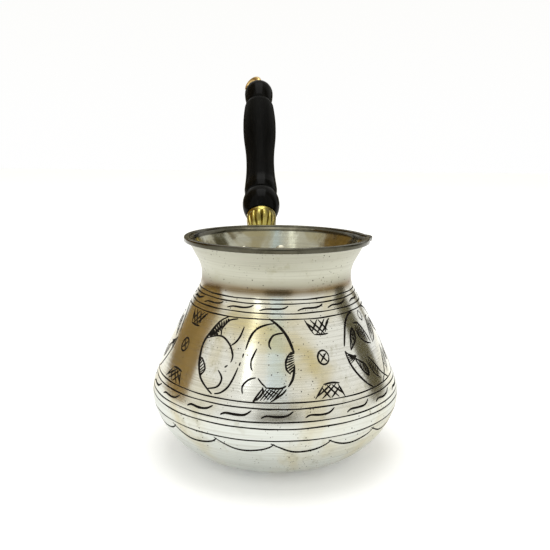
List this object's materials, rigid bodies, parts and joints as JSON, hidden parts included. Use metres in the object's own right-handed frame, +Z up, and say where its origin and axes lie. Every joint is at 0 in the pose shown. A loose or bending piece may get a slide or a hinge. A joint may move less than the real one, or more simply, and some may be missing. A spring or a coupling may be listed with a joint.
{
  "type": "turkish coffee pot",
  "caption": "Round-bellied copper coffee pot with a narrow neck, flared mouth, small side spout and a long rising wooden handle on a riveted brass bracket.",
  "frame": {"origin": "centre of the pot's base, on the surface it stands on", "axes": "+Z up the pot's axis, +Y the way the handle leaves, +X the side of the rim that carries the pouring spout"},
  "size_m": [0.092, 0.1716, 0.1487],
  "materials": {
    "tinned_copper": "hand-tinned copper, silver-white and lightly brushed, with blackened engraving",
    "cast_brass": "cast brass, filed and lightly polished",
    "rivet_copper": "hammered copper rivets, tinned on the inside",
    "polished_brass": "bright polished brass",
    "lacquered_wood": "turned hardwood in black lacquer, satin on the grip and glossy on the bulb and ball",
    "rod_steel": "drawn steel rod, threaded at both ends",
    "aged_brass": "aged brass wire, bent and rounded"
  },
  "bodies": {
    "root": {"pot_body": "tinned_copper", "handle_bracket": "cast_brass", "bracket_rivets": "rivet_copper", "handle_cup": "polished_brass", "handle_grip": "lacquered_wood", "handle_rod": "rod_steel", "hanging_hook": "aged_brass"}
  },
  "joints": []
}
